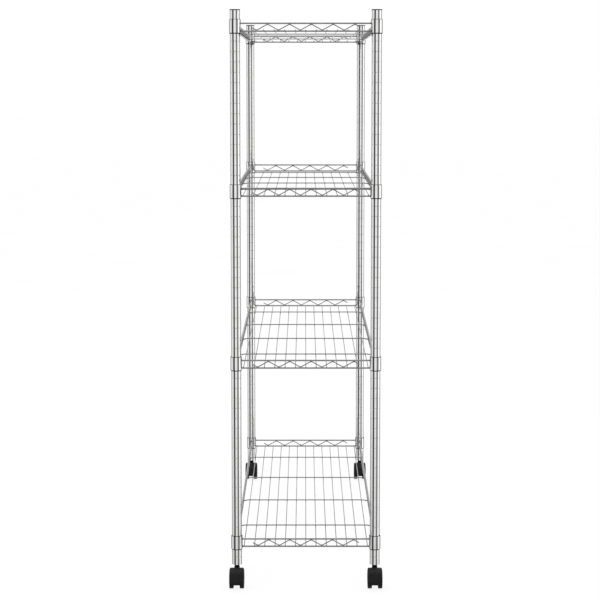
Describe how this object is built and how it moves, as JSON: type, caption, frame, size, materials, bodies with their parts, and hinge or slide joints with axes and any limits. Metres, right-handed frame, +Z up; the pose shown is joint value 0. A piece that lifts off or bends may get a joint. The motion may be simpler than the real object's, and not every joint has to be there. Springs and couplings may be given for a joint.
{
  "type": "wire shelving rack",
  "caption": "Tall narrow wire shelving rack: four grooved tube posts, four lift-off welded wire trays with zigzag lips, and hooded twin-wheel swivel casters.",
  "frame": {"origin": "middle of the rack's box, on the floor", "axes": "+Z up; +X across the rack's narrow end; +Y along its length, away from the end that the casters trail towards"},
  "size_m": [0.387, 1.2497, 1.4517],
  "materials": {
    "post_chrome": "bright chrome plate on rolled steel tube",
    "collar_chrome": "chrome plate on drawn steel ring",
    "wire_chrome": "chrome plate on welded steel wire",
    "stem_steel": "black coated steel",
    "axle_steel": "plain ground steel",
    "spring_steel": "plain spring steel",
    "cap_plastic": "black moulded polyethylene",
    "socket_plastic": "black moulded polypropylene",
    "sleeve_plastic": "black moulded nylon",
    "hood_plastic": "black moulded nylon, fine satin grain",
    "wheel_plastic": "black moulded nylon, worn tread"
  },
  "bodies": {
    "frame": {"post_front_left": "post_chrome", "post_front_right": "post_chrome", "post_rear_left": "post_chrome", "post_rear_right": "post_chrome", "caster_stem_front_left": "stem_steel", "caster_stem_front_right": "stem_steel", "caster_stem_rear_left": "stem_steel", "caster_stem_rear_right": "stem_steel", "post_caps": "cap_plastic", "stem_sockets": "socket_plastic", "stem_snap_rings": "spring_steel", "bottom_shelf_sleeves": "sleeve_plastic", "lower_shelf_sleeves": "sleeve_plastic", "upper_shelf_sleeves": "sleeve_plastic", "top_shelf_sleeves": "sleeve_plastic"},
    "bottom_shelf": {"bottom_shelf_collars": "collar_chrome", "bottom_shelf_upper_rails": "wire_chrome", "bottom_shelf_lower_rails": "wire_chrome", "bottom_shelf_zigzags": "wire_chrome", "bottom_shelf_deck_wires": "wire_chrome", "bottom_shelf_cross_wires": "wire_chrome"},
    "lower_shelf": {"lower_shelf_collars": "collar_chrome", "lower_shelf_upper_rails": "wire_chrome", "lower_shelf_lower_rails": "wire_chrome", "lower_shelf_zigzags": "wire_chrome", "lower_shelf_deck_wires": "wire_chrome", "lower_shelf_cross_wires": "wire_chrome"},
    "upper_shelf": {"upper_shelf_collars": "collar_chrome", "upper_shelf_upper_rails": "wire_chrome", "upper_shelf_lower_rails": "wire_chrome", "upper_shelf_zigzags": "wire_chrome", "upper_shelf_deck_wires": "wire_chrome", "upper_shelf_cross_wires": "wire_chrome"},
    "top_shelf": {"top_shelf_collars": "collar_chrome", "top_shelf_upper_rails": "wire_chrome", "top_shelf_lower_rails": "wire_chrome", "top_shelf_zigzags": "wire_chrome", "top_shelf_deck_wires": "wire_chrome", "top_shelf_cross_wires": "wire_chrome"},
    "caster_front_left": {"caster_hood_front_left": "hood_plastic", "caster_axle_front_left": "axle_steel"},
    "wheel_front_left_l": {"caster_wheel_front_left_l": "wheel_plastic"},
    "wheel_front_left_r": {"caster_wheel_front_left_r": "wheel_plastic"},
    "caster_front_right": {"caster_hood_front_right": "hood_plastic", "caster_axle_front_right": "axle_steel"},
    "wheel_front_right_l": {"caster_wheel_front_right_l": "wheel_plastic"},
    "wheel_front_right_r": {"caster_wheel_front_right_r": "wheel_plastic"},
    "caster_rear_left": {"caster_hood_rear_left": "hood_plastic", "caster_axle_rear_left": "axle_steel"},
    "wheel_rear_left_l": {"caster_wheel_rear_left_l": "wheel_plastic"},
    "wheel_rear_left_r": {"caster_wheel_rear_left_r": "wheel_plastic"},
    "caster_rear_right": {"caster_hood_rear_right": "hood_plastic", "caster_axle_rear_right": "axle_steel"},
    "wheel_rear_right_l": {"caster_wheel_rear_right_l": "wheel_plastic"},
    "wheel_rear_right_r": {"caster_wheel_rear_right_r": "wheel_plastic"}
  },
  "joints": [
    {"name": "bottom_shelf_lift", "type": "slide", "parent": "frame", "child": "bottom_shelf", "axis": [0, 0, 1], "range_m": [0, 0.04]},
    {"name": "lower_shelf_lift", "type": "slide", "parent": "frame", "child": "lower_shelf", "axis": [0, 0, 1], "range_m": [0, 0.04]},
    {"name": "upper_shelf_lift", "type": "slide", "parent": "frame", "child": "upper_shelf", "axis": [0, 0, 1], "range_m": [0, 0.04]},
    {"name": "top_shelf_lift", "type": "slide", "parent": "frame", "child": "top_shelf", "axis": [0, 0, 1], "range_m": [0, 0.04]},
    {"name": "caster_swivel_front_left", "type": "hinge", "parent": "frame", "child": "caster_front_left", "pos_m": [-0.1745, -0.57988, 0.0515], "axis": [0, 0, 1], "continuous": true},
    {"name": "wheel_spin_front_left_l", "type": "hinge", "parent": "caster_front_left", "child": "wheel_front_left_l", "pos_m": [-0.1875, -0.59788, 0.025], "axis": [1, 0, 0], "continuous": true},
    {"name": "wheel_spin_front_left_r", "type": "hinge", "parent": "caster_front_left", "child": "wheel_front_left_r", "pos_m": [-0.1615, -0.59788, 0.025], "axis": [1, 0, 0], "continuous": true},
    {"name": "caster_swivel_front_right", "type": "hinge", "parent": "frame", "child": "caster_front_right", "pos_m": [0.1745, -0.57988, 0.0515], "axis": [0, 0, 1], "continuous": true},
    {"name": "wheel_spin_front_right_l", "type": "hinge", "parent": "caster_front_right", "child": "wheel_front_right_l", "pos_m": [0.1615, -0.59788, 0.025], "axis": [1, 0, 0], "continuous": true},
    {"name": "wheel_spin_front_right_r", "type": "hinge", "parent": "caster_front_right", "child": "wheel_front_right_r", "pos_m": [0.1875, -0.59788, 0.025], "axis": [1, 0, 0], "continuous": true},
    {"name": "caster_swivel_rear_left", "type": "hinge", "parent": "frame", "child": "caster_rear_left", "pos_m": [-0.1745, 0.61013, 0.0515], "axis": [0, 0, 1], "continuous": true},
    {"name": "wheel_spin_rear_left_l", "type": "hinge", "parent": "caster_rear_left", "child": "wheel_rear_left_l", "pos_m": [-0.1875, 0.59213, 0.025], "axis": [1, 0, 0], "continuous": true},
    {"name": "wheel_spin_rear_left_r", "type": "hinge", "parent": "caster_rear_left", "child": "wheel_rear_left_r", "pos_m": [-0.1615, 0.59213, 0.025], "axis": [1, 0, 0], "continuous": true},
    {"name": "caster_swivel_rear_right", "type": "hinge", "parent": "frame", "child": "caster_rear_right", "pos_m": [0.1745, 0.61013, 0.0515], "axis": [0, 0, 1], "continuous": true},
    {"name": "wheel_spin_rear_right_l", "type": "hinge", "parent": "caster_rear_right", "child": "wheel_rear_right_l", "pos_m": [0.1615, 0.59213, 0.025], "axis": [1, 0, 0], "continuous": true},
    {"name": "wheel_spin_rear_right_r", "type": "hinge", "parent": "caster_rear_right", "child": "wheel_rear_right_r", "pos_m": [0.1875, 0.59213, 0.025], "axis": [1, 0, 0], "continuous": true}
  ]
}
